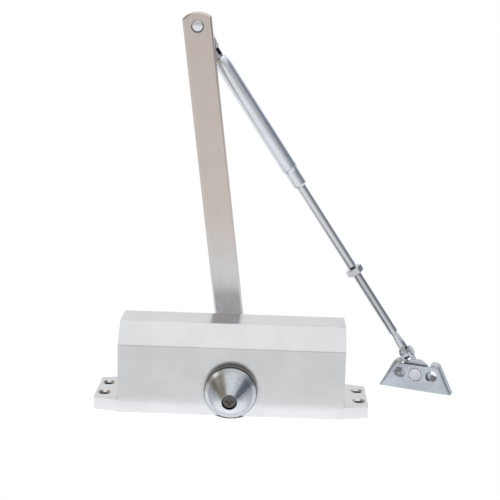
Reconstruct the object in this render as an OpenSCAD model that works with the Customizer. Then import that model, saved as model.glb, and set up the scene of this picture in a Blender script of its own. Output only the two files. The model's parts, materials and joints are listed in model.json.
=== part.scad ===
// Surface-mounted rack-and-pinion door closer with a regular double-lever arm.
// X runs along the body, Y along the spindle (+Y is the arm side), Z up from the mounting plane.
// The origin is the centre of the four mounting holes, on the mounting plane.

/* [Body] */
// Length of the body casting, without its feet
body_length = 141.4; // [136:0.2:148]
// Width of the body across the spindle
body_width = 48.3; // [47.6:0.1:54]
// Height of the upright sides, up to the sloping shoulders
side_height = 43.9; // [42:0.1:48]
// Width and height of each sloping shoulder
shoulder = 12.5; // [10:0.1:14]
// Radius on the casting's long edges
edge_radius = 0.9; // [0.4:0.1:2]
// Length over both feet
foot_span = 173.3; // [172:0.1:182]
// Thickness of the feet
foot_thickness = 7.8; // [6:0.1:10]
// How far the feet are set back from the body's sides where they leave it
foot_set_back = 0.95; // [0.65:0.05:4]
// Width of a foot at its outer end
foot_tip_width = 39; // [34:0.1:42]
// Corner radius of the feet
foot_corner = 1.3; // [0.8:0.1:3]
// Mounting hole spacing along the body
hole_pitch_x = 162; // [158:0.5:163]
// Mounting hole spacing across the body
hole_pitch_y = 19; // [16:0.5:22]
// Diameter of the mounting holes
hole_d = 6; // [5:0.1:6.4]
// Diameter of the countersink over each mounting hole
countersink_d = 8.4; // [7:0.1:9]

/* [Cylinder] */
// Height of the cylinder axis above the mounting plane
cylinder_height = 28; // [27.5:0.1:29]
// Diameter of the cylinder bore
cylinder_d = 36; // [35.4:0.1:36.6]
// Diameter of the threaded ends that take the plugs
plug_d = 39; // [38.6:0.1:40]
// Thickness of the plug at the valve end
valve_plug_length = 13; // [11:0.1:14]
// Thickness of the plug at the spring end
spring_plug_length = 9; // [8:0.1:10]
// How far the plugs sit below the end faces
plug_recess = 1.2; // [0.6:0.1:2]
// Size across flats of the hexagon socket in each plug
plug_socket_af = 14; // [10:0.5:17]
// Depth of the hexagon socket in each plug
plug_socket_depth = 4; // [2:0.1:5]
// Thickness of the plug seals
plug_seal_d = 2.1; // [1.6:0.1:2.4]

/* [Valves] */
// Distance from each valve screw to the side of the body
valve_inset = 5.15; // [4.95:0.05:5.65]
// Height of the valve screws above the mounting plane
valve_height = 13.5; // [12.8:0.1:14]
// Diameter of the valve screws
valve_d = 5.4; // [4.8:0.1:5.6]
// Length of a valve screw with its needle
valve_length = 18; // [16:0.5:20]
// Diameter of the oil drillings
drilling_d = 2.2; // [1.6:0.1:2.6]

/* [Rack and spindle] */
// Height of the spindle axis above the mounting plane
spindle_height = 17.3; // [17:0.1:18]
// Tooth module of rack and pinion
tooth_module = 1.25; // [1.2:0.01:1.27]
// Pressure angle of the teeth
pressure_angle = 25; // [24:0.5:26]
// Play between rack and pinion along the pitch line
backlash = 0.18; // [0.12:0.01:0.3]
// Face width of the pinion teeth
tooth_width = 19.4; // [17:0.1:19.6]
// Diameter of the spindle journals
journal_d = 12; // [11:0.1:12]
// Diameter of the bore that takes the spindle bushes
bush_d = 18; // [17.8:0.1:18.4]
// Room along the spindle for each spindle seal
seal_room = 3.05; // [2.9:0.05:3.4]
// Outer diameter of the thread on the gland nuts
gland_d = 21; // [20:0.1:23]
// Length of the thread on the gland nuts
gland_length = 4.8; // [4:0.1:5]
// Diameter of the gland nut flanges
gland_flange_d = 25; // [23.5:0.1:26.5]
// Thickness of the gland nut flanges
gland_flange = 2.6; // [1.8:0.1:3]
// Size across flats of the square spindle ends
square_af = 9; // [8.6:0.1:9.4]
// Opening angle of the spindle
opening_angle = 170; // [150:1:172]

/* [Piston and spring] */
// Diameter of the bore in the check valve pocket
check_pocket_d = 5.2; // [4.8:0.1:6]
// Diameter of the check valve ball
check_ball_d = 4.4; // [4:0.1:4.6]
// Gap between the piston and the valve end plug at rest
rest_gap = 2.85; // [2:0.05:3.4]
// Thickness of the piston head that carries the spring
spring_head = 8; // [7:0.1:9]
// Depth of the spring cup in the piston
spring_cup = 10; // [6:0.1:12]
// Wire diameter of the closing spring
spring_wire = 3.4; // [3:0.1:3.5]
// Outer diameter of the closing spring
spring_d = 27.8; // [26:0.1:28]
// Number of coils of the closing spring
spring_coils = 5; // [4:0.5:5]

/* [Cone cap] */
// Diameter of the cap's rim
cap_d = 32.8; // [32:0.1:34]
// Width of the cap's straight rim
cap_rim = 4.8; // [4:0.1:6]
// Length of the rim's rounded front
cap_round = 2.2; // [1.6:0.1:2.8]
// Diameter where the rounded front ends in a flat ring
cap_ring_d = 29.8; // [29:0.1:30.6]
// Diameter at the foot of the cone
cone_d = 27.4; // [26:0.1:28.4]
// Diameter at the tip of the cone
cone_tip_d = 10.6; // [10.4:0.1:12]
// How far the tip stands out from the body
cap_height = 23.15; // [21:0.05:26]
// Diameter of the screw recess in the tip
cap_recess_d = 9.4; // [8.8:0.1:9.6]
// Depth of the screw recess
cap_recess = 4; // [3.6:0.1:5]

/* [Main arm] */
// Length from the spindle to the elbow
arm_length = 222; // [212:1:234]
// Width of the arm
arm_width = 18.5; // [17:0.1:20]
// Thickness of the arm
arm_thickness = 7; // [6:0.1:7.4]
// Width of the bevel along the arm's front edges
arm_bevel = 1.1; // [0.5:0.1:1.6]
// Lean of the arm away from the forearm, in degrees
arm_lean = 7.42; // [4:0.02:9]
// Gap between the body and the arm
arm_gap = 7.35; // [6.5:0.05:9]
// Radius of the arm's crowned end
arm_crown = 13.4; // [11:0.1:16]
// Distance from the elbow axis to the top of the crowned end
arm_overhang = 9.2; // [8:0.1:10.5]
// Diameter of the arm's hub around the spindle
arm_hub_d = 23; // [20:0.1:25]

/* [Elbow] */
// Diameter of the elbow rivet's shank
elbow_rivet_d = 6; // [5:0.1:6.4]
// Diameter of the rivet head let into the arm's front face
elbow_head_d = 7.1; // [6.8:0.1:7.6]
// Diameter of the counterbore around that head
elbow_counterbore_d = 8.1; // [7.8:0.1:9]
// Thickness of the spacer between arm and forearm
elbow_spacer_length = 3.4; // [2.4:0.1:4]
// Diameter of the forearm's eye
eye_d = 12; // [11:0.1:13]
// Width of the forearm's eye where it meets the neck
eye_end_width = 8; // [7.4:0.1:9]
// Thickness of the forearm's eye
eye_thickness = 8; // [7:0.1:9]
// Length of the flat part of the eye, from the elbow axis
eye_length = 18; // [15:0.1:19]
// Diameter of the neck between eye and sleeve
eye_neck_d = 6.4; // [5.6:0.1:6.8]

/* [Forearm] */
// Lean of the forearm from the upright, in degrees
fore_lean = 34.18; // [32:0.02:36]
// Outer diameter of the sleeve
sleeve_d = 10.5; // [10:0.1:11]
// Inner diameter of the sleeve
sleeve_bore_d = 7; // [6.9:0.1:7.6]
// Start of the sleeve, from the elbow axis
sleeve_start = 24; // [22:0.1:26]
// End of the sleeve, from the elbow axis
sleeve_end = 109.5; // [100:0.5:114]
// Length of the sleeve's rounded shoulder
sleeve_shoulder = 7; // [4:0.1:9]
// Outer diameter of the ferrule
ferrule_d = 9.2; // [8.6:0.1:9.8]
// Length of the ferrule outside the sleeve
ferrule_length = 13.5; // [10:0.1:16]
// Diameter of the upper rod
upper_rod_d = 6.1; // [5.8:0.1:6.4]
// How far the upper rod ends short of the main arm's length
rod_shortfall = 34.4; // [33.6:0.2:44]
// Diameter of the threaded stud of the upper rod
stud_d = 4; // [3.6:0.1:4.2]
// Length of the threaded stud
stud_length = 44; // [40:0.5:45]
// Width across flats of the lock nut
nut_af = 10; // [9:0.1:11]
// Thickness of the lock nut
nut_thickness = 5; // [4:0.1:6]
// Free thread between the upper rod and the lock nut
free_thread = 0.5; // [0.3:0.1:6]
// Diameter of the lower rod
lower_rod_d = 5.8; // [5.6:0.1:6.2]
// Thickness of the lower rod's flattened eye
blade_thickness = 3.5; // [3:0.1:3.6]
// Width of the lower rod's flattened eye
blade_width = 7.8; // [7:0.1:8.2]

/* [Shoe] */
// Turn of the shoe about the upright, in degrees
shoe_turn = 21; // [17:0.5:23]
// Length of the shoe's straight lower edge
shoe_length = 49.6; // [48:0.1:54]
// Length of the shoe's upper edge between its corners
shoe_top = 30; // [29:0.1:32]
// Height of the shoe
shoe_height = 19.5; // [19:0.1:21]
// Depth of the turned-back rim
rim_depth = 7; // [5:0.1:7.6]
// Thickness of the sheet
sheet = 2; // [1.6:0.1:2.2]
// Radius of the shoe's upper corners
shoe_corner = 4.5; // [3:0.1:6]
// Height of the rivet and the screw holes above the lower edge
rivet_height = 11; // [10.6:0.1:12]
// Diameter of the two screw holes
shoe_hole_d = 7.8; // [6.4:0.1:8]
// Distance between the two screw holes
shoe_hole_pitch = 22; // [21.6:0.1:23]
// Distance from the swivel rivet to the fork pin
fork_length = 15; // [14.6:0.1:16]
// Height of the fork pin over the shoe's front face
fork_rise = 5.6; // [5.4:0.1:6.4]
// Diameter of the rounded ends of the fork's ears
ear_d = 7.8; // [7.4:0.1:8.2]
// Thickness of the fork's ears and base
ear_thickness = 1.8; // [1.6:0.1:2]
// Diameter of the fork's round base
fork_base_d = 20; // [19:0.1:21]
// Diameter of the fork pin
fork_pin_d = 3.5; // [3:0.1:3.8]
// Diameter of the swivel rivet's shank
swivel_rivet_d = 5; // [4.4:0.1:5.2]
// Diameter of the swivel rivet's flush head
swivel_head_d = 9.4; // [8.6:0.1:9.8]

/* [Clearances] */
// Radial gap of a piece that turns or slides in another
running_gap = 0.06; // [0.03:0.01:0.08]
// Radial gap of pieces that are fixed in each other
fixed_gap = 0.02; // [0.01:0.01:0.03]
// Gap between faces that turn over each other
face_gap = 0.1; // [0.06:0.01:0.2]

/* [Hidden] */
$fn = 64;
eps = 0.01;
body_top = side_height + shoulder;
half_length = body_length / 2;
half_width = body_width / 2;
foot_root_width = body_width - 2 * foot_set_back;
valve_spacing = body_width - 2 * valve_inset;
valve_plug_face = valve_plug_length + plug_recess - half_length;
spring_plug_face = half_length - plug_recess - spring_plug_length;
pinion_teeth = 12;
pitch_r = tooth_module * pinion_teeth / 2;
travel = pitch_r * opening_angle * PI / 180;
rack_pitch = PI * tooth_module;
pitch_line = spindle_height + pitch_r;
window_gap = 0.4;
window_left = -(bush_d / 2 + window_gap + travel);
window_right = bush_d / 2 + window_gap;
window_roof = spindle_height + bush_d / 2 + window_gap;
piston_left = valve_plug_face + rest_gap;
piston_right = window_right + spring_head + spring_cup;
bush_inner = (tooth_width + window_gap) / 2;
bush_length = half_width - gland_length - seal_room - bush_inner;
seal_section = (bush_d - journal_d) / 2 - 2 * fixed_gap;
cap_face = half_width + 0.5;
cap_tip = half_width + cap_height;
cap_seat = cap_face + 6;
cap_grip = 6.3;
shaft_end_front = cap_tip - cap_recess - cap_grip;
arm_front = half_width + arm_gap;
arm_back = arm_front + arm_thickness;
eye_front = arm_back + elbow_spacer_length + face_gap;
fore_y = eye_front + eye_thickness / 2;
elbow_x = -arm_length * sin(arm_lean);
elbow_z = spindle_height + arm_length * cos(arm_lean);
fork_tilt = atan(tan(fore_lean) * cos(shoe_turn));
rod_roll = asin(cos(fork_tilt) * sin(shoe_turn));
pin_z = rivet_height + fork_length * cos(fork_tilt);
reach = (elbow_z - pin_z) / cos(fore_lean);
pin_x = elbow_x + reach * sin(fore_lean);
fork_side = fork_length * sin(fork_tilt);
rivet_x = pin_x + fork_side * cos(shoe_turn) - fork_rise * sin(shoe_turn);
rivet_y = fore_y - fork_side * sin(shoe_turn) - fork_rise * cos(shoe_turn);
upper_rod_end = arm_length - rod_shortfall;
nut_start = upper_rod_end + free_thread;
lower_rod_start = nut_start + nut_thickness + face_gap;
ear_gap = blade_thickness + 0.3;
ear_outer = ear_gap / 2 + ear_thickness;
notch_half = (shoe_height - rivet_height) * tan(fork_tilt) + ear_outer / cos(fork_tilt) + 0.5;

casting = "gainsboro";
bright_steel = "lightsteelblue";
dark_steel = "slategray";
seal_rubber = "dimgray";
bearing_brass = "darkkhaki";

// Placing

module along_x(x = 0, y = 0, z = 0) { translate([x, y, z]) rotate([0, 90, 0]) children(); }
module along_y(x = 0, y = 0, z = 0) { translate([x, y, z]) rotate([-90, 0, 0]) children(); }
module on_cylinder_axis(x = 0) { along_x(x, 0, cylinder_height) children(); }
module on_spindle_axis(y = 0) { along_y(0, y, spindle_height) children(); }
module both_sides() { children(); mirror([0, 1, 0]) children(); }

// Along the main arm: z runs from the spindle to the elbow, y stays the spindle's direction.
module at_arm() { translate([0, 0, spindle_height]) rotate([0, -arm_lean, 0]) children(); }

// Along the forearm: z runs from the elbow to the fork pin.
module at_forearm() {
    translate([elbow_x, fore_y, elbow_z]) rotate([0, 180 - fore_lean, 0]) children();
}

// The forearm's frame, rolled about its axis so that x lies along the fork pin.
module at_rod_end() { at_forearm() translate([0, 0, reach]) rotate([0, 0, rod_roll]) children(); }

// On the shoe: the origin is the rivet on the front face, x along the shoe and y away from that face.
module at_shoe() { translate([rivet_x, rivet_y, rivet_height]) rotate([0, 0, -shoe_turn]) children(); }

// On the fork: z runs from the rivet to the fork pin and x along that pin.
module at_fork() { at_shoe() rotate([0, -fork_tilt, 0]) children(); }

// Shapes

// The points of an outline whose corners are rounded to radius r; every corner turns left.
function unit(v) = v / norm(v);
function corner_arc(before, corner, after, r, steps) =
    let (a = unit(before - corner), b = unit(after - corner), half = acos(a * b) / 2,
        centre = corner + unit(a + b) * r / sin(half), start = corner + a * r / tan(half) - centre)
    [for (i = [0:steps]) let (t = (180 - 2 * half) * i / steps)
        centre + [start.x * cos(t) - start.y * sin(t), start.x * sin(t) + start.y * cos(t)]];
function rounded(points, radii, steps = 5) = [
    for (i = [0:len(points) - 1]) each radii[i] == 0 ? [points[i]]
        : corner_arc(points[(i + len(points) - 1) % len(points)], points[i],
            points[(i + 1) % len(points)], radii[i], steps)
];

module ring(outer_d, inner_d, length) {
    difference() {
        cylinder(d = outer_d, h = length);
        translate([0, 0, -eps]) cylinder(d = inner_d, h = length + 2 * eps);
    }
}

module round_seal(inner_d, section) {
    rotate_extrude() translate([(inner_d + section) / 2, 0]) circle(d = section, $fn = 24);
}

module hexagon(af, h) { cylinder(d = af / cos(30), h = h, $fn = 6); }

module bevelled_disc(d, h, bevel) {
    cylinder(d = d, h = h - bevel);
    translate([0, 0, h - bevel]) cylinder(d1 = d, d2 = d - 2 * bevel, h = bevel);
}

// Housing

body_outline = rounded(
    [[-half_width, 0], [half_width, 0], [half_width, side_height], [half_width - shoulder, body_top],
        [shoulder - half_width, body_top], [-half_width, side_height]],
    [0, 0, edge_radius, edge_radius, edge_radius, edge_radius]);
foot_outline = rounded(
    [[-foot_span / 2, -foot_tip_width / 2], [-half_length, -foot_root_width / 2],
        [half_length, -foot_root_width / 2], [foot_span / 2, -foot_tip_width / 2],
        [foot_span / 2, foot_tip_width / 2], [half_length, foot_root_width / 2],
        [-half_length, foot_root_width / 2], [-foot_span / 2, foot_tip_width / 2]],
    [foot_corner, 0, 0, foot_corner, foot_corner, 0, 0, foot_corner]);

module mounting_hole() {
    sink = (countersink_d - hole_d) / 2;
    translate([0, 0, -eps]) cylinder(d = hole_d, h = foot_thickness + 2 * eps);
    translate([0, 0, foot_thickness - sink])
        cylinder(d1 = hole_d, d2 = countersink_d + 2 * eps, h = sink + eps);
}

// A valve bore with its stepped seat, and the drillings from both sides of the seat to the cylinder.
module valve_passage() {
    seat = valve_length + plug_recess - half_length;
    far_drilling = window_left + 3;
    to_cylinder = atan2(cylinder_height - valve_height, valve_spacing / 2);
    along_x(-half_length - eps, valve_spacing / 2, valve_height) {
        cylinder(d = valve_d + 2 * fixed_gap, h = seat + half_length);
        cylinder(d = drilling_d, h = far_drilling + half_length + drilling_d);
    }
    for (x = [valve_plug_face + 1.4, far_drilling])
        translate([x, valve_spacing / 2, valve_height]) rotate([90 - to_cylinder, 0, 0])
            cylinder(d = drilling_d, h = 9);
}

module housing() {
    color(casting) difference() {
        union() {
            translate([-half_length, 0, 0]) rotate([90, 0, 90])
                linear_extrude(body_length) polygon(body_outline);
            linear_extrude(foot_thickness) polygon(foot_outline);
        }
        on_cylinder_axis(-half_length - eps) cylinder(d = cylinder_d, h = body_length + 2 * eps);
        on_cylinder_axis(-half_length - eps)
            cylinder(d = plug_d, h = half_length + valve_plug_face + eps);
        on_cylinder_axis(spring_plug_face) cylinder(d = plug_d, h = half_length);
        on_spindle_axis(-half_width - eps) cylinder(d = bush_d, h = body_width + 2 * eps);
        both_sides() on_spindle_axis(half_width - gland_length)
            cylinder(d = gland_d, h = gland_length + eps);
        both_sides() valve_passage();
        for (x = [-1, 1], y = [-1, 1])
            translate([x * hole_pitch_x / 2, y * hole_pitch_y / 2, 0]) mounting_hole();
    }
}

// End plugs: screwed discs with a hexagon socket outside and a seal groove near the inner face.
seal_from_face = 2.4;

module end_plug(length) {
    groove_d = plug_d - 2 * plug_seal_d - 2 * fixed_gap;
    difference() {
        cylinder(d = plug_d - 2 * fixed_gap, h = length);
        translate([0, 0, length - plug_socket_depth]) hexagon(plug_socket_af, plug_socket_depth + eps);
        translate([0, 0, seal_from_face - plug_seal_d / 2 - fixed_gap])
            ring(plug_d + 1, groove_d, plug_seal_d + 2 * fixed_gap);
    }
}

module valve_end_plug() {
    color(bright_steel) translate([valve_plug_face, 0, cylinder_height])
        rotate([0, -90, 0]) end_plug(valve_plug_length);
}

module spring_end_plug() {
    color(bright_steel) on_cylinder_axis(spring_plug_face) end_plug(spring_plug_length);
}

module plug_seals() {
    seal_inner = plug_d - 2 * plug_seal_d - 2 * fixed_gap + eps;
    color(seal_rubber) {
        on_cylinder_axis(valve_plug_face - seal_from_face) round_seal(seal_inner, plug_seal_d);
        on_cylinder_axis(spring_plug_face + seal_from_face) round_seal(seal_inner, plug_seal_d);
    }
}

// Spindle bearings and glands

module spindle_bushes() {
    color(bearing_brass) both_sides() on_spindle_axis(bush_inner)
        ring(bush_d - 2 * fixed_gap, journal_d + 2 * running_gap, bush_length);
}

module spindle_seals() {
    middle = (bush_inner + bush_length + half_width - gland_length) / 2;
    color(seal_rubber) both_sides() on_spindle_axis(middle)
        round_seal(journal_d + 2 * fixed_gap, seal_section - fixed_gap);
}

module gland_nuts() {
    flats = gland_flange_d - 3;
    color(bright_steel) both_sides() on_spindle_axis(half_width) difference() {
        union() {
            translate([0, 0, -gland_length]) cylinder(d = gland_d - 2 * fixed_gap, h = gland_length);
            intersection() {
                bevelled_disc(gland_flange_d, gland_flange, 0.5);
                translate([0, 0, gland_flange / 2])
                    cube([flats, 2 * gland_flange_d, gland_flange], center = true);
            }
        }
        translate([0, 0, -gland_length - eps])
            cylinder(d = journal_d + 2 * running_gap, h = gland_length + gland_flange + 2 * eps);
    }
}

// Closing spring: a wire swept along a helix whose end coils close up against their seats.
spring_left = window_right + spring_head + face_gap;
spring_right = spring_plug_face - face_gap;
spring_r = (spring_d - spring_wire) / 2;
spring_span = spring_right - spring_left - spring_wire;
wire_sides = 8;
steps_per_coil = 24;
// Share of the span reached at coil t: closed for 3/4 of a coil at each end, even in between
closed_coil = 0.75;
function coil_rise(t) =
    let (closed = closed_coil * spring_wire * 1.02 / spring_span,
        slope = (1 - 2 * closed) / (spring_coils - 2 * closed_coil))
    t < closed_coil ? closed * t / closed_coil
    : t > spring_coils - closed_coil ? 1 - closed * (spring_coils - t) / closed_coil
    : closed + slope * (t - closed_coil);
module helical_wire() {
    rings = spring_coils * steps_per_coil;
    points = [
        for (i = [0:rings], j = [0:wire_sides - 1])
            let (turn = 360 * i / steps_per_coil, side = 360 * j / wire_sides,
                r = spring_r + spring_wire / 2 * cos(side))
            [r * cos(turn), r * sin(turn),
                spring_span * coil_rise(i / steps_per_coil) + spring_wire / 2 * sin(side)]
    ];
    quads = [
        for (i = [0:rings - 1], j = [0:wire_sides - 1])
            let (a = i * wire_sides + j, b = i * wire_sides + (j + 1) % wire_sides)
            [b, a, a + wire_sides, b + wire_sides]
    ];
    first = [for (j = [0:wire_sides - 1]) j];
    last = [for (j = [wire_sides - 1:-1:0]) rings * wire_sides + j];
    polyhedron(points, concat([last], quads, [first]));
}

module closing_spring() {
    color(dark_steel) on_cylinder_axis(spring_left + spring_wire / 2) helical_wire();
}

// Valve screws: a hexagon socket head, a seal groove and a needle.
valve_groove = 8;
valve_seal_d = 1.2;

module valve_screw() {
    needle = 5;
    along_x(plug_recess - half_length, 0, valve_height) difference() {
        union() {
            cylinder(d = valve_d - 2 * running_gap, h = valve_length - needle - 1);
            translate([0, 0, valve_length - needle - 1])
                cylinder(d1 = valve_d - 2 * running_gap, d2 = drilling_d - 0.4, h = 1.6);
            cylinder(d = drilling_d - 0.4, h = valve_length - 1.5);
            translate([0, 0, valve_length - 1.5]) cylinder(d1 = drilling_d - 0.4, d2 = 0.6, h = 2.4);
        }
        translate([0, 0, -eps]) hexagon(2.5, 3);
        translate([0, 0, valve_groove - valve_seal_d / 2 - fixed_gap])
            ring(valve_d + 1, valve_d - 2 * valve_seal_d - 2 * running_gap, valve_seal_d + 2 * fixed_gap);
    }
}

module valve_seal() {
    along_x(plug_recess - half_length + valve_groove, 0, valve_height)
        round_seal(valve_d - 2 * valve_seal_d - 2 * running_gap + 2 * eps, valve_seal_d);
}

module sweep_valve_screw() { color(dark_steel) translate([0, -valve_spacing / 2, 0]) valve_screw(); }
module sweep_valve_seal() { color(seal_rubber) translate([0, -valve_spacing / 2, 0]) valve_seal(); }
module latch_valve_screw() { color(dark_steel) translate([0, valve_spacing / 2, 0]) valve_screw(); }
module latch_valve_seal() { color(seal_rubber) translate([0, valve_spacing / 2, 0]) valve_seal(); }

// Rack piston

addendum = 0.96 * tooth_module;
dedendum = 1.12 * tooth_module;

// One rack tooth hanging from the root line, its point down, centred on x = 0.
module rack_tooth() {
    half = (rack_pitch / 2 - backlash / 2) / 2;
    slope = tan(pressure_angle);
    polygon([[-half - slope * (dedendum + window_gap), dedendum + window_gap],
        [-half + slope * addendum, -addendum], [half - slope * addendum, -addendum],
        [half + slope * (dedendum + window_gap), dedendum + window_gap]]);
}

module rack_teeth() {
    first = ceil(window_left / rack_pitch);
    last = floor(window_right / rack_pitch) - 1;
    rib = tooth_width / 2;
    for (i = [first:last])
        translate([(i + 0.5) * rack_pitch, rib, pitch_line])
            rotate([90, 0, 0]) linear_extrude(2 * rib) rack_tooth();
    translate([window_left, -rib, pitch_line + dedendum])
        cube([window_right - window_left, 2 * rib, 2]);
}

check_passage_d = 3;
check_pocket = 7;
piston_d = cylinder_d - 2 * running_gap;
seal_groove_x = window_left - 8;

module rack_piston() {
    window = window_right - window_left;
    color(bright_steel) difference() {
        union() {
            difference() {
                on_cylinder_axis(piston_left) cylinder(d = piston_d, h = piston_right - piston_left);
                translate([window_left, -cylinder_d, window_roof - 2 * cylinder_d])
                    cube([window, 2 * cylinder_d, 2 * cylinder_d]);
            }
            rack_teeth();
        }
        on_cylinder_axis(piston_right - spring_cup) cylinder(d = spring_d + 0.8, h = spring_cup + eps);
        on_cylinder_axis(window_right - eps) cylinder(d = check_passage_d, h = spring_head + 2 * eps);
        on_cylinder_axis(piston_left - eps) cylinder(d = check_pocket_d, h = check_pocket + eps);
        on_cylinder_axis(piston_left) cylinder(d = check_passage_d, h = window_left - piston_left + eps);
        on_cylinder_axis(seal_groove_x - 1.3)
            ring(cylinder_d + 1, cylinder_d - 4.4 - 2 * fixed_gap, 2.6);
    }
}

module piston_seal() {
    color(seal_rubber) on_cylinder_axis(seal_groove_x)
        round_seal(cylinder_d - 4.4, 2.2 - 2 * fixed_gap);
}

module check_ball() {
    color(bright_steel) on_cylinder_axis(piston_left + check_pocket - check_ball_d / 2 - face_gap)
        sphere(d = check_ball_d);
}

module ball_retainer() {
    color(bright_steel) on_cylinder_axis(piston_left + 0.2) ring(check_pocket_d - 2 * fixed_gap, 2.4, 1.6);
}

// Pinion shaft: involute teeth, two journals and two square ends with rounded corners.

function involute(angle) = tan(angle) * 180 / PI - angle;
base_r = pitch_r * cos(pressure_angle);
tip_r = pitch_r + addendum;
root_r = pitch_r - dedendum;
half_tooth = 90 / pinion_teeth - backlash / 4 / pitch_r * 180 / PI;
// Half the angle that a tooth covers at radius r
function tooth_angle(r) =
    half_tooth + involute(pressure_angle) - (r > base_r ? involute(acos(base_r / r)) : 0);
flank_steps = 8;
flank = [
    for (i = [0:flank_steps]) let (r = base_r + (tip_r - base_r) * i / flank_steps) [r, tooth_angle(r)]
];
pinion_outline = [
    for (k = [0:pinion_teeth - 1]) let (middle = 90 + 360 * k / pinion_teeth) each concat(
        [let (a = middle - tooth_angle(base_r)) root_r * [cos(a), sin(a)]],
        [for (p = flank) p[0] * [cos(middle - p[1]), sin(middle - p[1])]],
        [for (i = [flank_steps:-1:0]) let (p = flank[i]) p[0] * [cos(middle + p[1]), sin(middle + p[1])]],
        [let (a = middle + tooth_angle(base_r)) root_r * [cos(a), sin(a)]])
];

// A square end with rounded corners; it starts a little inside the journal that carries it.
module square_end(length) {
    inside = 1;
    whole = length + inside;
    translate([0, 0, -inside]) intersection() {
        translate([0, 0, whole / 2]) cube([square_af, square_af, whole], center = true);
        cylinder(d = journal_d - 0.4, h = whole);
    }
}

module tapped_hole(d, depth) { translate([0, 0, -depth]) cylinder(d = d, h = depth + eps); }

square_socket = square_af + 2 * running_gap;
cap_screw_d = 5;
cap_screw_length = 16;
arm_screw_d = 6;
arm_screw_length = 14;
shaft_end_back = arm_back - 0.6;

module pinion_shaft() {
    color(bright_steel) difference() {
        union() {
            on_spindle_axis(-cap_seat) cylinder(d = journal_d, h = cap_seat + arm_front);
            translate([0, tooth_width / 2, spindle_height]) rotate([90, 0, 0])
                linear_extrude(tooth_width) polygon(pinion_outline);
            translate([0, arm_front, spindle_height]) rotate([-90, -arm_lean, 0])
                square_end(shaft_end_back - arm_front);
            translate([0, -cap_seat, spindle_height]) rotate([90, 0, 0])
                square_end(shaft_end_front - cap_seat);
        }
        translate([0, shaft_end_back, spindle_height]) rotate([-90, 0, 0])
            tapped_hole(arm_screw_d, arm_screw_length);
        translate([0, -shaft_end_front, spindle_height]) rotate([90, 0, 0])
            tapped_hole(cap_screw_d, cap_screw_length - cap_grip + 3);
    }
}

// Cone cap: a hollow rim, a cone and a recessed screw that holds it to the spindle's end.

module cone_cap() {
    depth = cap_tip - cap_face;
    ledge = 0.5;
    round_width = (cap_d - cap_ring_d) / 2;
    ring_face = cap_rim + cap_round;
    hollow_d = cap_d - 5.5;
    color(dark_steel) translate([0, -cap_face, spindle_height]) rotate([90, 0, 0]) difference() {
        rotate_extrude() polygon(concat(
            [[0, 0], [cap_d / 2 - 0.4, 0], [cap_d / 2, 0.4]],
            [for (i = [0:4]) let (t = 90 * i / 4)
                [cap_ring_d / 2 + round_width * cos(t), cap_rim + cap_round * sin(t)]],
            [[cone_d / 2 + 0.1, ring_face], [cone_d / 2, ring_face + ledge],
            [cone_tip_d / 2, depth - 0.5], [cone_tip_d / 2 - 0.35, depth], [0, depth]]));
        translate([0, 0, -eps]) cylinder(d = hollow_d, h = cap_seat - cap_face + eps);
        translate([0, 0, (shaft_end_front - cap_face) / 2])
            cube([square_socket, square_socket, shaft_end_front - cap_face + 0.4], center = true);
        cylinder(d = cap_screw_d + 0.4, h = depth);
        translate([0, 0, depth - cap_recess]) cylinder(d = cap_recess_d, h = cap_recess + eps);
    }
}

module cap_screw() {
    head = 2.6;
    cross_depth = 1.5;
    color(dark_steel) translate([0, cap_recess - cap_tip, spindle_height]) rotate([90, 0, 0]) difference() {
        union() {
            bevelled_disc(cap_recess_d - 0.8, head, 0.4);
            translate([0, 0, -cap_screw_length])
                cylinder(d = cap_screw_d - 2 * fixed_gap, h = cap_screw_length);
        }
        for (a = [0, 90]) rotate([0, 0, a]) translate([0, 0, head])
            cube([5, 1, 2 * cross_depth], center = true);
        translate([0, 0, head - cross_depth]) cylinder(d1 = 1.6, d2 = 2.8, h = cross_depth + eps);
    }
}

// Main arm: a bar with bevelled front edges, a crowned elbow end and a hub over the spindle's square.

module arm_crown_shape() {
    centre = arm_length + arm_overhang - arm_crown;
    translate([-arm_width, arm_front - 1, -arm_hub_d])
        cube([2 * arm_width, arm_thickness + 2, centre + arm_hub_d]);
    along_y(0, arm_front + arm_bevel, centre) cylinder(r = arm_crown, h = arm_thickness);
    along_y(0, arm_front, centre) cylinder(r1 = arm_crown - arm_bevel, r2 = arm_crown, h = arm_bevel + eps);
}

module arm_bar() {
    edge = arm_width / 2;
    linear_extrude(arm_length + arm_overhang) polygon([
        [-edge, arm_back], [-edge, arm_front + arm_bevel], [arm_bevel - edge, arm_front],
        [edge - arm_bevel, arm_front], [edge, arm_front + arm_bevel], [edge, arm_back]]);
}

elbow_counterbore = 1.6;

module main_arm() {
    color("tan") at_arm() difference() {
        union() {
            intersection() {
                arm_bar();
                arm_crown_shape();
            }
            along_y(0, arm_front + arm_bevel) cylinder(d = arm_hub_d, h = arm_thickness - arm_bevel);
            along_y(0, arm_front)
                cylinder(d1 = arm_hub_d - 2 * arm_bevel, d2 = arm_hub_d, h = arm_bevel + eps);
        }
        translate([0, (arm_front + arm_back) / 2, 0])
            cube([square_socket, arm_thickness + 1, square_socket], center = true);
        along_y(0, arm_front - eps, arm_length) {
            cylinder(d = elbow_rivet_d + 2 * fixed_gap, h = arm_thickness + 1);
            cylinder(d = elbow_counterbore_d, h = elbow_counterbore + eps);
        }
    }
}

arm_washer_d = 16;
arm_washer_thickness = 1.2;

module arm_washer() {
    color(bright_steel) on_spindle_axis(arm_back)
        ring(arm_washer_d, arm_screw_d + 0.5, arm_washer_thickness);
}

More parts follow.
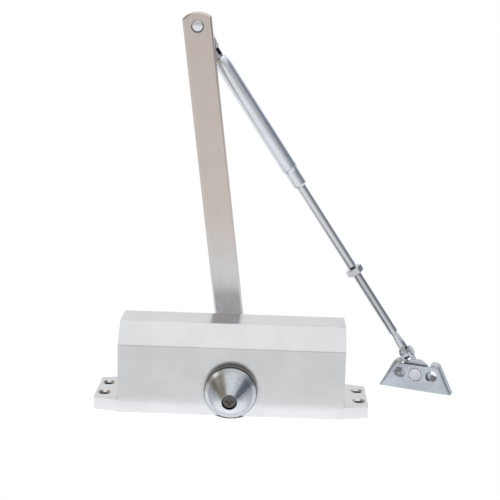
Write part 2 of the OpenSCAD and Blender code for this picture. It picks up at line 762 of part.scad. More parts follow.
module arm_screw() {
    head = 2.6;
    socket_depth = 1.8;
    color(bright_steel) on_spindle_axis(arm_back + arm_washer_thickness) difference() {
        union() {
            bevelled_disc(arm_screw_d + 5, head, 0.7);
            translate([0, 0, -arm_screw_length])
                cylinder(d = arm_screw_d - 2 * fixed_gap, h = arm_screw_length);
        }
        translate([0, 0, head - socket_depth]) hexagon(4, socket_depth + eps);
    }
}

// Elbow: a rivet fixed in the arm, a spacer and the forearm's eye.

module elbow_rivet() {
    proud = 0.5;
    clinch_gap = face_gap;
    color(bright_steel) at_arm() {
        along_y(0, arm_front - proud, arm_length) {
            cylinder(d1 = elbow_head_d - 0.6, d2 = elbow_head_d, h = 0.3);
            translate([0, 0, 0.3]) cylinder(d = elbow_head_d, h = proud + elbow_counterbore - 0.3);
            cylinder(d = elbow_rivet_d, h = eye_front + eye_thickness - arm_front + proud + clinch_gap + 1);
        }
        along_y(0, eye_front + eye_thickness + clinch_gap, arm_length) bevelled_disc(9.6, 1.9, 0.9);
    }
}

module elbow_spacer() {
    color(bright_steel) at_arm() along_y(0, arm_back, arm_length)
        ring(eye_d, elbow_rivet_d + 2 * fixed_gap, elbow_spacer_length);
}

module elbow_eye() {
    corner = 1.6;
    spigot = 20;
    color(bright_steel) at_forearm() difference() {
        union() {
            translate([0, eye_thickness / 2, 0]) rotate([90, 0, 0]) linear_extrude(eye_thickness) {
                circle(d = eye_d);
                polygon(rounded([[-eye_d / 2, 0], [eye_d / 2, 0], [eye_end_width / 2, eye_length],
                    [-eye_end_width / 2, eye_length]], [0, 0, corner, corner]));
            }
            cylinder(d = eye_neck_d, h = sleeve_start + spigot);
            translate([0, 0, sleeve_start + 2]) cylinder(d = sleeve_bore_d - 2 * fixed_gap, h = spigot - 4);
        }
        along_y(0, -eye_thickness) cylinder(d = elbow_rivet_d + 2 * running_gap, h = 2 * eye_thickness);
    }
}

module forearm_sleeve() {
    r = sleeve_d / 2;
    inner = sleeve_bore_d / 2;
    nose = inner + 0.3;
    steps = 8;
    shoulder_arc = [for (i = [0:steps]) let (t = 90 * i / steps)
        [nose + (r - nose) * sin(t), sleeve_start + sleeve_shoulder * (1 - cos(t))]];
    color("aliceblue") at_forearm() difference() {
        rotate_extrude() polygon(concat([[0, sleeve_start]], shoulder_arc,
            [[r, sleeve_end - 0.3], [r - 0.3, sleeve_end], [0, sleeve_end]]));
        translate([0, 0, sleeve_start - eps])
            cylinder(d = sleeve_bore_d, h = sleeve_end - sleeve_start + 2 * eps);
    }
}

module forearm_ferrule() {
    r = ferrule_d / 2;
    spigot = 12;
    spigot_r = sleeve_bore_d / 2 - fixed_gap;
    tip = sleeve_end + ferrule_length;
    color("aliceblue") at_forearm() difference() {
        rotate_extrude() polygon([
            [0, sleeve_end - spigot], [spigot_r, sleeve_end - spigot],
            [spigot_r, sleeve_end], [sleeve_d / 2 - 0.2, sleeve_end],
            [r, sleeve_end + 2], [r, tip - 1.2], [r - 0.6, tip], [0, tip]]);
        translate([0, 0, sleeve_end - spigot - eps])
            cylinder(d = upper_rod_d + 2 * fixed_gap, h = spigot + ferrule_length + 2 * eps);
    }
}

module upper_rod() {
    hidden_start = sleeve_start + 24;
    bevel = 0.6;
    color(bright_steel) at_forearm() {
        translate([0, 0, hidden_start]) cylinder(d = sleeve_bore_d - 2 * fixed_gap, h = 4);
        translate([0, 0, hidden_start]) bevelled_disc(upper_rod_d, upper_rod_end - hidden_start, bevel);
        translate([0, 0, upper_rod_end - eps]) cylinder(d = stud_d, h = stud_length + eps);
    }
}

module lock_nut() {
    corner_d = nut_af / cos(30);
    bevel = 0.5;
    color(bright_steel) at_forearm() translate([0, 0, nut_start]) difference() {
        intersection() {
            hexagon(nut_af, nut_thickness);
            translate([0, 0, bevel]) bevelled_disc(corner_d, nut_thickness - bevel, bevel);
        }
        translate([0, 0, -eps]) cylinder(d = stud_d + 2 * running_gap, h = nut_thickness + 2 * eps);
    }
}

module lower_rod() {
    length = reach - lower_rod_start;
    flat_from = 13;
    flat_angle = 12;
    color(bright_steel) at_rod_end() difference() {
        union() {
            difference() {
                union() {
                    translate([0, 0, -length]) cylinder(d1 = lower_rod_d - 1.2, d2 = lower_rod_d, h = 0.6);
                    translate([0, 0, 0.6 - length])
                        cylinder(d = lower_rod_d, h = length - 0.6 - flat_from / 3);
                }
                for (side = [0, 180]) rotate([0, 0, side])
                    translate([blade_thickness / 2, -lower_rod_d, -flat_from]) rotate([0, flat_angle, 0])
                        translate([0, 0, -4]) cube([lower_rod_d, 2 * lower_rod_d, 2 * flat_from]);
            }
            translate([-blade_thickness / 2, 0, 0]) along_x() linear_extrude(blade_thickness) {
                circle(d = blade_width);
                polygon([[0, -blade_width / 2], [0, blade_width / 2], [6, lower_rod_d / 2],
                    [flat_from - 2, lower_rod_d / 2 - 0.5], [flat_from - 2, 0.5 - lower_rod_d / 2],
                    [6, -lower_rod_d / 2]]);
            }
        }
        along_x(-blade_thickness) cylinder(d = fork_pin_d + 2 * running_gap, h = 2 * blade_thickness);
        translate([0, 0, -length - eps]) cylinder(d = stud_d + 2 * running_gap, h = stud_length - 3);
    }
}

// Shoe

swivel_tail_d = 8;
swivel_sink = 1.4;

module shoe_fork() {
    ear_start = swivel_tail_d / 2 + 0.6;
    front = sheet + face_gap;
    color(bright_steel) at_fork() difference() {
        union() {
            along_y(0, front) cylinder(d = fork_base_d, h = ear_thickness);
            for (x = [-ear_outer, ear_gap / 2]) translate([x, 0, 0]) rotate([90, 0, 90])
                linear_extrude(ear_thickness) {
                    translate([fork_rise, fork_length]) circle(d = ear_d);
                    polygon([[front, ear_start], [front + ear_thickness, ear_start],
                        [fork_rise + ear_d / 2, fork_length - 0.6], [fork_rise, fork_length],
                        [fork_rise - ear_d / 2 + 0.1, fork_length], [front, fork_length - ear_d / 2]]);
                }
        }
        along_y(0, front - eps) cylinder(d = swivel_rivet_d + 2 * running_gap, h = ear_thickness + 2 * eps);
        along_x(-2 * ear_outer, fork_rise, fork_length)
            cylinder(d = fork_pin_d + 2 * fixed_gap, h = 4 * ear_outer);
    }
}

module fork_pin() {
    head = 1.1;
    clinch = 0.5;
    color(bright_steel) at_fork() {
        along_x(-ear_outer - clinch, fork_rise, fork_length) {
            cylinder(d = fork_pin_d, h = 2 * ear_outer + clinch + head / 2);
            cylinder(d = fork_pin_d + 1.2, h = clinch);
        }
        along_x(ear_outer, fork_rise, fork_length) bevelled_disc(6.2, head, 0.4);
    }
}

// The shoe's outer form: four corner posts with a rounded front edge, hulled and cut off at the floor.
module shoe_blank() {
    top_z = shoe_height - rivet_height;
    slope = (shoe_length - shoe_top) / 2 / shoe_height;
    corner_x = shoe_top / 2 - shoe_corner * (sqrt(1 + slope * slope) - slope);
    below = 12;
    intersection() {
        hull() for (s = [-1, 1], low = [0, 1])
            translate([s * (corner_x + low * slope * (shoe_height + below)), 0,
                top_z - shoe_corner - low * (shoe_height + below)])
                rotate([-90, 0, 0]) rotate_extrude($fn = 32) polygon(concat([[0, 0]],
                    [for (i = [0:4]) let (t = 90 * i / 4)
                        [shoe_corner - sheet + sheet * sin(t), sheet - sheet * cos(t)]],
                    [[shoe_corner, rim_depth], [0, rim_depth]]));
        translate([-shoe_length, -1, -rivet_height])
            cube([2 * shoe_length, rim_depth + 2, 2 * shoe_height]);
    }
}

module shoe_plate() {
    top_z = shoe_height - rivet_height;
    slope = (shoe_length - shoe_top) / 2 / shoe_height;
    // Half the hollow's width at height z, one sheet inside the outer form
    wall = sheet * sqrt(1 + slope * slope);
    top_half = shoe_top / 2 + slope * sheet - wall;
    low_half = top_half + slope * (shoe_height + 2);
    hollow = rounded([[-low_half, -rivet_height - 4], [low_half, -rivet_height - 4],
        [top_half, top_z - sheet], [-top_half, top_z - sheet]],
        [0, 0, shoe_corner - sheet, shoe_corner - sheet]);
    color(bright_steel) at_shoe() difference() {
        shoe_blank();
        translate([0, rim_depth + 1, 0]) rotate([90, 0, 0])
            linear_extrude(rim_depth + 1 - sheet) polygon(hollow);
        translate([-notch_half, -1, top_z - sheet - 0.2]) cube([2 * notch_half, rim_depth + 2, sheet + 1]);
        for (s = [-1, 1]) along_y(s * shoe_hole_pitch / 2, -eps)
            cylinder(d = shoe_hole_d, h = sheet + 2 * eps);
        along_y(0, -eps) cylinder(d = swivel_rivet_d + 2 * fixed_gap, h = sheet + 2 * eps);
        along_y(0, -eps) cylinder(d1 = swivel_head_d, d2 = swivel_rivet_d, h = swivel_sink);
    }
}

module swivel_rivet() {
    groove = 0.35;
    behind = sheet + ear_thickness + 2 * face_gap;
    color(bright_steel) at_shoe() {
        along_y(0, face_gap)
            cylinder(d1 = swivel_head_d - 2 * groove, d2 = swivel_rivet_d, h = swivel_sink - 0.15);
        along_y(0, face_gap) cylinder(d = swivel_rivet_d, h = behind + 0.5);
        along_y(0, behind) bevelled_disc(swivel_tail_d, 1.3, 0.5);
    }
}

housing();
valve_end_plug();
spring_end_plug();
plug_seals();
spindle_bushes();
spindle_seals();
gland_nuts();
closing_spring();
sweep_valve_screw();
sweep_valve_seal();
latch_valve_screw();
latch_valve_seal();
rack_piston();
piston_seal();
check_ball();
ball_retainer();
pinion_shaft();
cone_cap();
cap_screw();
main_arm();
arm_washer();
arm_screw();
elbow_rivet();
elbow_spacer();
elbow_eye();
forearm_sleeve();
forearm_ferrule();
upper_rod();
lock_nut();
lower_rod();
shoe_fork();
fork_pin();
shoe_plate();
swivel_rivet();
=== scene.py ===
"""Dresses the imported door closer: the finish of every part, and the parts whose surfaces are
finer than their CAD solids. Lengths are in metres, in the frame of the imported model: X runs along
the body, Y along the spindle towards the arm, and Z up from the mounting plane."""

import json
import math

import bmesh
import bpy
import numpy as np
from bpy.props import FloatProperty, FloatVectorProperty, IntProperty, PointerProperty
from bpy.types import Operator, Panel, PropertyGroup
from mathutils import Matrix, Vector


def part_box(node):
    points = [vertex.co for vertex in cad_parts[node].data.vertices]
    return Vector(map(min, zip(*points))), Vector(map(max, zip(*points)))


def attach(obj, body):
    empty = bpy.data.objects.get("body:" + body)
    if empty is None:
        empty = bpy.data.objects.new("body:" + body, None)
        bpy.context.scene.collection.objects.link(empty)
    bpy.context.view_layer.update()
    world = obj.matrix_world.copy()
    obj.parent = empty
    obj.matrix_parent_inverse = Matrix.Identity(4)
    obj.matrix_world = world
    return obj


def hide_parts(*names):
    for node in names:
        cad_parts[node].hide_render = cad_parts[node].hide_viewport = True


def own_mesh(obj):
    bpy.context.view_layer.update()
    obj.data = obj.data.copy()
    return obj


bl_info = {
    "name": "Door closer finishes",
    "version": (1, 0, 0),
    "blender": (4, 5, 0),
    "location": "View3D > Sidebar > Closer",
    "description": "Finishes, threads and fine parts of a rack-and-pinion door closer",
    "category": "Object",
}

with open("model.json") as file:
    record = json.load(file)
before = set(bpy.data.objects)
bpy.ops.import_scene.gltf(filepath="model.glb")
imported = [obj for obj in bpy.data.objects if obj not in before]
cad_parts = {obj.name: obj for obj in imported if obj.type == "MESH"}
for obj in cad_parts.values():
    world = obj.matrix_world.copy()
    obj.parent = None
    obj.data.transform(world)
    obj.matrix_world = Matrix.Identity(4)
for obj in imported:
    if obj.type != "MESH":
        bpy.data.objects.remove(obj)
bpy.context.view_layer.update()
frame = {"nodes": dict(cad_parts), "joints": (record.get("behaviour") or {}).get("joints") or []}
NODES = frame["nodes"]
JOINTS = {joint["name"]: joint for joint in frame["joints"]}
MM = 0.001
TURN = 2 * math.pi


# Places, all measured on the CAD nodes and the joints


def unit(vector):
    """The vector divided by its own length."""
    vector = np.asarray(vector, float)
    return vector / np.linalg.norm(vector)


def vertices(node):
    """The node's vertices as an array of points."""
    mesh = NODES[node].data
    points = np.zeros(len(mesh.vertices) * 3)
    mesh.vertices.foreach_get("co", points)
    return points.reshape(-1, 3)


class Axis:
    """A line through the closer, with two directions square to it, so that a turned shape can be
    given by station along the line, radius from it and angle round it."""

    def __init__(self, origin, along, side=(0.0, 1.0, 0.0)):
        self.origin = np.array(origin, float)
        self.along = unit(along)
        self.across = unit(np.cross(side, self.along))
        self.side = np.cross(self.along, self.across)

    def points(self, station, radius, angle):
        """origin + station * along + radius * (cos(angle) * side + sin(angle) * across)."""
        turned = np.broadcast_arrays(station, radius, angle)
        station, radius, angle = (part[..., None] for part in turned)
        outward = np.cos(angle) * self.side + np.sin(angle) * self.across
        return self.origin + station * self.along + radius * outward

    def measure(self, node):
        """Station and radius of each of a node's vertices."""
        offset = vertices(node) - self.origin
        station = offset @ self.along
        return station, np.linalg.norm(offset - station[:, None] * self.along, axis=1)


def joint_axis(name, side=(0.0, 1.0, 0.0)):
    """The axis of a joint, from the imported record."""
    return Axis(JOINTS[name]["pos_m"], JOINTS[name]["axis"], side)


SPINDLE = Axis(JOINTS["spindle_turn"]["pos_m"], (0, -1, 0), (0, 0, 1))
ELBOW = np.array(JOINTS["elbow_pivot"]["pos_m"])
FOREARM = Axis(ELBOW, JOINTS["length_adjust"]["axis"])
ARM = Axis(JOINTS["spindle_turn"]["pos_m"], (ELBOW - SPINDLE.origin) * (1, 0, 1))
SWIVEL = joint_axis("shoe_swivel", (0, 0, 1))
SPRING_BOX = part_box("closing_spring")
CYLINDER = Axis((0, 0, sum(corner.z for corner in SPRING_BOX) / 2), (1, 0, 0))


# Settings


def length(name, description, default):
    """A length setting."""
    return FloatProperty(name=name, description=description, default=default, unit="LENGTH")


def colour(name, description, default):
    """A colour setting."""
    settings = {"subtype": "COLOR", "size": 3, "min": 0, "max": 1}
    return FloatVectorProperty(name=name, description=description, default=default, **settings)


class CloserSizes(PropertyGroup):
    thread_pitch: length("Thread pitch", "Pitch of the forearm's thread", 0.7 * MM)
    thread_depth: length("Thread depth", "Depth of the forearm's thread", 0.38 * MM)
    wire: length("Spring wire", "Wire diameter of the closing spring", 3.4 * MM)
    coils: IntProperty(
        name="Spring coils", description="Coils of the closing spring", default=5, min=3
    )
    recess: length("Cross recess", "Length of the cap screw's cross recess", 5.2 * MM)
    soft_edge: length("Soft edge", "Radius of broken edges in the finish", 0.35 * MM)


class CloserColours(PropertyGroup):
    casting: colour("Casting", "Satin silver of the body casting", (0.600, 0.605, 0.620))
    arm: colour("Arm", "Warm silver of the main arm", (0.570, 0.510, 0.475))
    # The main arm's colour near the body is a painted reflection, cooler and lighter than its own
    # warm silver.
    arm_reflection: colour("Arm hub", "Silver of the main arm near the body", (0.660, 0.680, 0.700))
    sleeve: colour("Sleeve", "Light silver of the forearm's sleeve", (0.700, 0.740, 0.800))
    zinc: colour("Zinc", "Bright zinc plating", (0.560, 0.570, 0.600))
    sheet: colour("Sheet", "Satin zinc of the shoe", (0.500, 0.540, 0.590))
    cap: colour("Cap", "Turned steel of the cone cap", (0.480, 0.510, 0.540))
    machined: colour("Machined", "Oiled machined steel", (0.500, 0.490, 0.480))
    spring: colour("Spring", "Dark spring steel", (0.105, 0.105, 0.120))
    screws: colour("Screws", "Dark screws", (0.130, 0.125, 0.120))
    bronze: colour("Bronze", "Bearing bronze", (0.560, 0.370, 0.160))
    rubber: colour("Rubber", "Black seal rubber", (0.020, 0.020, 0.021))


def sizes():
    return bpy.context.scene.closer_sizes


def colours():
    return bpy.context.scene.closer_colours


# Shaders


class Value:
    """A socket of a node tree. Arithmetic on it adds Math nodes to that tree."""

    def __init__(self, tree, socket):
        self.tree, self.socket = tree, socket

    def math(self, operation, *values):
        return self.tree.add("ShaderNodeMath", {"operation": operation}, dict(enumerate(values)))

    def __add__(self, other):
        return self.math("ADD", self, other)

    def __sub__(self, other):
        return self.math("SUBTRACT", self, other)

    def __rsub__(self, other):
        return self.math("SUBTRACT", other, self)

    def __mul__(self, other):
        return self.math("MULTIPLY", self, other)

    def __truediv__(self, other):
        return self.math("DIVIDE", self, other)

    def __abs__(self):
        return self.math("ABSOLUTE", self)

    __radd__, __rmul__ = __add__, __mul__

    def maximum(self, other):
        return self.math("MAXIMUM", self, other)

    def minimum(self, other):
        return self.math("MINIMUM", self, other)

    def power(self, exponent):
        return self.math("POWER", self, exponent)

    def sine(self):
        return self.math("SINE", self)

    def step(self, low, high):
        """0 below low, 1 above high and a smooth rise between them; low may be the larger one."""
        return self.tree.add(
            "ShaderNodeMapRange",
            {"interpolation_type": "SMOOTHSTEP"},
            {"Value": self, "From Min": low, "From Max": high},
        )


class Tree:
    """The node tree of a material or world."""

    def __init__(self, owner):
        owner.use_nodes = True
        self.nodes, self.links = owner.node_tree.nodes, owner.node_tree.links
        self.nodes.clear()

    def add(self, kind, settings=None, inputs=None, output=0):
        """A new node with its settings and its sockets' values or links, as one of its outputs."""
        node = self.nodes.new(kind)
        for key, value in (settings or {}).items():
            setattr(node, key, value)
        for key, value in (inputs or {}).items():
            if isinstance(value, Value):
                self.links.new(value.socket, node.inputs[key])
            else:
                node.inputs[key].default_value = value
        return Value(self, node.outputs[output]) if len(node.outputs) else None

    def mix(self, factor, a, b):
        """Colour a at factor 0, and colour b at factor 1."""
        inputs = {0: factor, 6: rgba(a), 7: rgba(b)}
        return self.add("ShaderNodeMix", {"data_type": "RGBA"}, inputs, 2)

    def shades(self, factor, rgb, low, high):
        """A colour times low at factor 0, and times high at factor 1."""
        return self.mix(factor, tint(rgb, low), tint(rgb, high))

    def vector(self, operation, *values, output=0):
        inputs = dict(enumerate(values))
        return self.add("ShaderNodeVectorMath", {"operation": operation}, inputs, output)

    def split(self, vector):
        """The three parts of a vector."""
        node = self.add("ShaderNodeSeparateXYZ", None, {0: vector}).socket.node
        return [Value(self, part) for part in node.outputs]

    def rays(self, *kinds):
        """1 for each kind of ray that is being traced, and 0 for the others."""
        node = self.add("ShaderNodeLightPath").socket.node
        return [Value(self, node.outputs[kind]) for kind in kinds]

    def dot(self, a, b):
        return self.vector("DOT_PRODUCT", a, b, output="Value")


def rgba(value):
    """A colour of three numbers as four; sockets pass through."""
    return value if isinstance(value, Value) else (*value, 1.0)


def tint(rgb, amount):
    """A colour made lighter or darker by a factor."""
    return tuple(min(1.0, channel * amount) for channel in rgb)


# Colours of painted shade in corners and gaps and on the elbow eye's neck, of the cap's rim band
# (partly paint, partly a painted reflection), and of the painted shade line round its front
CREVICE_SHADE = (0.03, 0.03, 0.035)
NECK_SHADE = (0.02, 0.022, 0.025)
RIM_PAINT_AND_REFLECTION = (0.36, 0.34, 0.32)
SHADE_LINE = (0.03, 0.03, 0.03)


class Finish(Tree):
    """A metal, paint or rubber: a Principled shader whose colour, roughness and bump are
    expressions."""

    def __init__(self, name, metallic=1.0, edge=True, **fixed):
        self.material = bpy.data.materials.new(name)
        super().__init__(self.material)
        self.point = self.add("ShaderNodeTexCoord", output="Object")
        self.shader = self.nodes.new("ShaderNodeBsdfPrincipled")
        self.shader.inputs["Metallic"].default_value = metallic
        for key, value in fixed.items():
            self.shader.inputs[key.replace("_", " ").title()].default_value = value
        self.add("ShaderNodeOutputMaterial", None, {"Surface": Value(self, self.shader.outputs[0])})
        self.soft_normal = None
        if edge:
            inputs = {"Radius": sizes().soft_edge}
            self.soft_normal = self.add("ShaderNodeBevel", {"samples": 4}, inputs)

    def noise(self, size, detail=2.0, roughness=0.5, point=None):
        """Noise from 0 to 1 whose features are about size metres across."""
        inputs = {"Vector": point or self.point, "Scale": 1 / size}
        inputs |= {"Detail": detail, "Roughness": roughness}
        return self.add("ShaderNodeTexNoise", None, inputs)

    def grain(self, axis, along, across, detail=2.0):
        """Noise drawn out along an axis: along and across are a streak's length and width."""
        scaled = (axis.along / along, axis.side / across, axis.across / across)
        parts = {i: self.dot(self.point, tuple(direction)) for i, direction in enumerate(scaled)}
        return self.noise(1.0, detail, point=self.add("ShaderNodeCombineXYZ", None, parts))

    def turned(self, axis):
        """Station along an axis, radius from it and angle round it, of the point that is shaded."""
        offset = self.vector("SUBTRACT", self.point, tuple(axis.origin))
        station = self.dot(offset, tuple(axis.along))
        u, v = (self.dot(offset, tuple(d)) for d in (axis.side, axis.across))
        radius = (u * u + v * v).power(0.5)
        return station, radius, v.math("ARCTAN2", v, u)

    def edges(self):
        """1 on broken edges and 0 on flats: how far the softened normal leaves the true one. The
        finishes paint broken edges lighter by it, partly as edge wear and partly as a painted
        highlight.
        """
        true_normal = self.add("ShaderNodeNewGeometry", output="Normal")
        return (1 - self.dot(self.soft_normal, true_normal)).step(0.005, 0.12)

    def crevice_shade(self, base, reach, depth=0.75):
        """Painted shade: the colour, darkened by up to depth in corners and gaps narrower than
        about reach.
        """
        settings, inputs = {"samples": 6}, {"Distance": reach}
        open_sky = self.add("ShaderNodeAmbientOcclusion", settings, inputs, "AO")
        return self.mix(open_sky.step(0.85, 0.2) * depth, base, CREVICE_SHADE)

    def set(self, base, roughness, height=None, distance=0.01 * MM):
        """Links the colour, the roughness and the bump, whose height of 0 to 1 is distance long."""
        for key, value in (("Base Color", base), ("Roughness", roughness)):
            if isinstance(value, Value):
                self.links.new(value.socket, self.shader.inputs[key])
            else:
                self.shader.inputs[key].default_value = value
        normal = self.soft_normal
        if height is not None:
            inputs = {"Height": height, "Distance": distance}
            if normal is not None:
                inputs["Normal"] = normal
            normal = self.add("ShaderNodeBump", None, inputs)
        if normal is not None:
            self.links.new(normal.socket, self.shader.inputs["Normal"])
        return self.material


def casting_finish():
    """Satin silver paint on die-cast metal: faint clouds, fine metal flake and soft orange peel."""
    f = Finish("casting_satin_silver")
    rgb = colours().casting
    clouds = f.noise(22 * MM, 3)
    flake = f.noise(0.35 * MM, 1)
    base = f.shades(clouds.step(0.3, 0.7), rgb, 0.965, 1.035)
    base = f.mix(flake.step(0.52, 0.7) * 0.35, base, tint(rgb, 1.2))
    # Broken edges painted lighter, partly edge wear and partly a painted highlight; then painted
    # shade in corners and gaps.
    base = f.mix(f.edges() * 0.5, base, tint(rgb, 1.3))
    base = f.crevice_shade(base, 4 * MM, 0.6)
    peel = f.noise(1.6 * MM, 2) * 0.7 + f.noise(0.5 * MM, 1) * 0.3
    return f.set(base, 0.19 + clouds * 0.04 + flake * 0.03, peel, 0.004 * MM)


def arm_finish():
    """Warm silver paint on a rolled bar: rolling streaks along the arm. Towards the body it turns
    to a cooler, lighter silver, a painted reflection.
    """
    all_warm, all_cool = 112 * MM, 40 * MM
    f = Finish("arm_warm_silver")
    warm, cool = colours().arm, colours().arm_reflection
    station = f.turned(ARM)[0]
    streaks = f.grain(ARM, 45 * MM, 0.7 * MM, 3)
    clouds = f.noise(18 * MM, 2)
    # Painted reflection: the arm turns from its warm silver to the cooler, lighter silver towards
    # the body.
    base = f.mix(station.step(all_warm, all_cool), warm, cool)
    base = f.mix(streaks.step(0.35, 0.75) * 0.3, base, tint(warm, 1.22))
    base = f.mix(clouds.step(0.45, 0.75) * 0.18, base, tint(warm, 0.82))
    # Broken edges painted lighter, partly edge wear and partly a painted highlight; then painted
    # shade in corners and gaps.
    base = f.mix(f.edges() * 0.6, base, tint(cool, 1.15))
    base = f.crevice_shade(base, 2.0 * MM)
    height = streaks * 0.6 + f.noise(1.2 * MM, 2) * 0.4
    return f.set(base, 0.25 + streaks * 0.06, height, 0.003 * MM)


def sleeve_finish():
    """Smooth light silver paint on tube, with a few long hairlines."""
    f = Finish("sleeve_light_silver", Coat_Weight=0.15, Coat_Roughness=0.1)
    rgb = colours().sleeve
    hairs = f.grain(FOREARM, 30 * MM, 0.3 * MM, 2)
    clouds = f.noise(9 * MM, 2)
    base = f.shades(clouds.step(0.3, 0.7), rgb, 0.97, 1.03)
    base = f.mix(hairs.step(0.62, 0.75) * 0.3, base, tint(rgb, 0.85))
    return f.set(base, 0.22 + clouds * 0.04, hairs, 0.0008 * MM)


def zinc_finish(name="bright_zinc", axis=FOREARM, lightness=1.0, painted_shade=None):
    """Bright zinc plating: drawing marks along the piece and a faint blue cast. The last argument
    takes the finish and gives a factor that is 1 where shade is painted near black."""
    f = Finish(name)
    rgb = tint(colours().zinc, lightness)
    marks = f.grain(axis, 22 * MM, 0.5 * MM, 2)
    cast = f.noise(6 * MM, 2)
    bluish = (rgb[0] * 0.98, rgb[1], rgb[2] * 1.03)
    base = f.mix(cast.step(0.35, 0.65), tint(rgb, 0.97), bluish)
    base = f.mix(marks.step(0.5, 0.8) * 0.25, base, tint(rgb, 0.82))
    # Broken edges painted lighter, partly edge wear and partly a painted highlight; then painted
    # shade in corners and gaps.
    base = f.mix(f.edges() * 0.4, base, tint(rgb, 1.2))
    base = f.crevice_shade(base, 2.5 * MM)
    # Painted shade: where the factor is 1, the colour is laid near black.
    if painted_shade:
        base = f.mix(painted_shade(f), base, NECK_SHADE)
    return f.set(base, 0.2 + marks * 0.08, marks, 0.001 * MM)


def eye_finish():
    """Bright zinc with painted shade, near black on the outer side of the neck between the eye and
    the sleeve.
    """
    start, end, fade = 17.2 * MM, 23 * MM, 1 * MM

    # Mask of the painted shade: a band of the neck, on its outer side.
    def neck(f):
        offset = f.vector("SUBTRACT", f.point, tuple(FOREARM.origin))
        station = f.dot(offset, tuple(FOREARM.along))
        outer = f.dot(offset, tuple(-FOREARM.across))
        along = station.step(start, start + fade) * station.step(end, end - fade)
        return along * outer.step(0.6 * MM, 1.4 * MM)

    return zinc_finish("elbow_eye_zinc", painted_shade=neck)


def sheet_finish():
    """Satin zinc on pressed sheet: rolling marks along the shoe, dull clouds, and broken edges
    painted lighter, partly as edge wear and partly as a painted highlight.
    """
    f = Finish("satin_zinc_sheet")
    rgb = colours().sheet
    along = Axis(SWIVEL.origin, np.cross(SWIVEL.along, (0, 0, 1)), (0, 0, 1))
    marks = f.grain(along, 12 * MM, 0.4 * MM, 3)
    clouds = f.noise(7 * MM, 3)
    base = f.shades(clouds.step(0.3, 0.7), rgb, 0.94, 1.05)
    base = f.mix(marks.step(0.5, 0.8) * 0.25, base, tint(rgb, 0.82))
    # Broken edges painted lighter, partly edge wear and partly a painted highlight; then painted
    # shade in corners and gaps.
    base = f.mix(f.edges() * 0.6, base, tint(rgb, 1.35))
    base = f.crevice_shade(base, 8 * MM)
    height = marks * 0.6 + f.noise(0.8 * MM, 1) * 0.4
    return f.set(base, 0.28 + clouds * 0.1, height, 0.006 * MM)


def turned_finish():
    """Satin turned steel: fine rings from the tool round the spindle, and soft rays across them.
    Behind the shoulder the rim is painted a darker brown, partly as a paint band and partly as a
    painted reflection, and a line of painted shade runs round its front edge."""
    line_start, line_full, line_end = 27.6 * MM, 28.4 * MM, 30.65 * MM
    f = Finish("turned_cap")
    rgb = colours().cap
    station, radius, angle = f.turned(SPINDLE)
    run = station + radius
    rings = (run * (TURN / (0.45 * MM))).sine() * 0.5 + 0.5
    wander = f.noise(5 * MM, 2)
    rays = {0: run * (1 / (0.6 * MM)), 1: angle * 1.2, 2: 0.0}
    fine = f.noise(1.0, 3, point=f.add("ShaderNodeCombineXYZ", None, rays))
    base = f.shades(fine.step(0.35, 0.7) * 0.5, rgb, 0.9, 1.15)
    base = f.mix(wander.step(0.4, 0.7) * 0.25, base, tint(rgb, 0.85))
    # Broken edges painted lighter, partly edge wear and partly a painted highlight.
    base = f.mix(f.edges() * 0.8, base, tint(rgb, 1.5))
    # Behind the shoulder the rim is painted darker and browner: partly a paint band, partly a
    # painted reflection.
    base = f.mix(station.step(line_full, line_full - 0.6 * MM), base, RIM_PAINT_AND_REFLECTION)
    # Painted shade: a near-black line round the rim's front edge.
    line = station.step(line_start, line_full) * station.step(line_end, line_end - 0.25 * MM)
    base = f.mix(line * 0.95, base, SHADE_LINE)
    # Painted shade in corners and gaps.
    base = f.crevice_shade(base, 2 * MM, 0.9)
    return f.set(base, 0.2 + fine * 0.08, rings * 0.75 + fine * 0.25, 0.02 * MM)


def machined_finish():
    """Ground and oiled steel: short tool marks and a thin uneven film."""
    f = Finish("machined_steel", Coat_Weight=0.2, Coat_Roughness=0.15)
    rgb = colours().machined
    marks = f.grain(CYLINDER, 0.5 * MM, 6 * MM, 3)
    film = f.noise(9 * MM, 3)
    base = f.shades(marks.step(0.4, 0.7), rgb, 0.85, 1.1)
    base = f.mix(film.step(0.5, 0.75) * 0.3, base, tint(rgb, 0.6))
    return f.set(base, 0.2 + film * 0.15, marks, 0.004 * MM)


def spring_finish():
    """Oil-tempered spring wire: a dark bluish scale with drawing lines."""
    f = Finish("spring_wire", edge=False)
    rgb = colours().spring
    scale = f.noise(3 * MM, 3)
    bluish = (rgb[0] * 1.2, rgb[1] * 1.25, rgb[2] * 1.5)
    base = f.mix(scale.step(0.35, 0.7), tint(rgb, 0.8), bluish)
    return f.set(base, 0.3 + scale * 0.2, f.noise(0.4 * MM, 2), 0.006 * MM)


def screw_finish():
    """Black-finished screws, a little rubbed on their edges."""
    f = Finish("black_screws")
    rgb = colours().screws
    wear = f.noise(0.8 * MM, 3)
    base = f.mix(wear.step(0.4, 0.75) * 0.5, rgb, tint(rgb, 1.8))
    base = f.mix(f.edges() * wear.step(0.2, 0.6), base, tint(rgb, 3.0))
    # Painted shade in corners and gaps.
    base = f.crevice_shade(base, 1.2 * MM, 0.8)
    return f.set(base, 0.34 + wear * 0.15, wear, 0.008 * MM)


def bronze_finish():
    """Sintered bearing bronze: a fine open grain."""
    f = Finish("bearing_bronze", edge=False)
    rgb = colours().bronze
    pores = f.noise(0.25 * MM, 2)
    base = f.shades(pores.step(0.4, 0.65), rgb, 0.75, 1.1)
    return f.set(base, 0.4 + pores * 0.15, pores, 0.01 * MM)


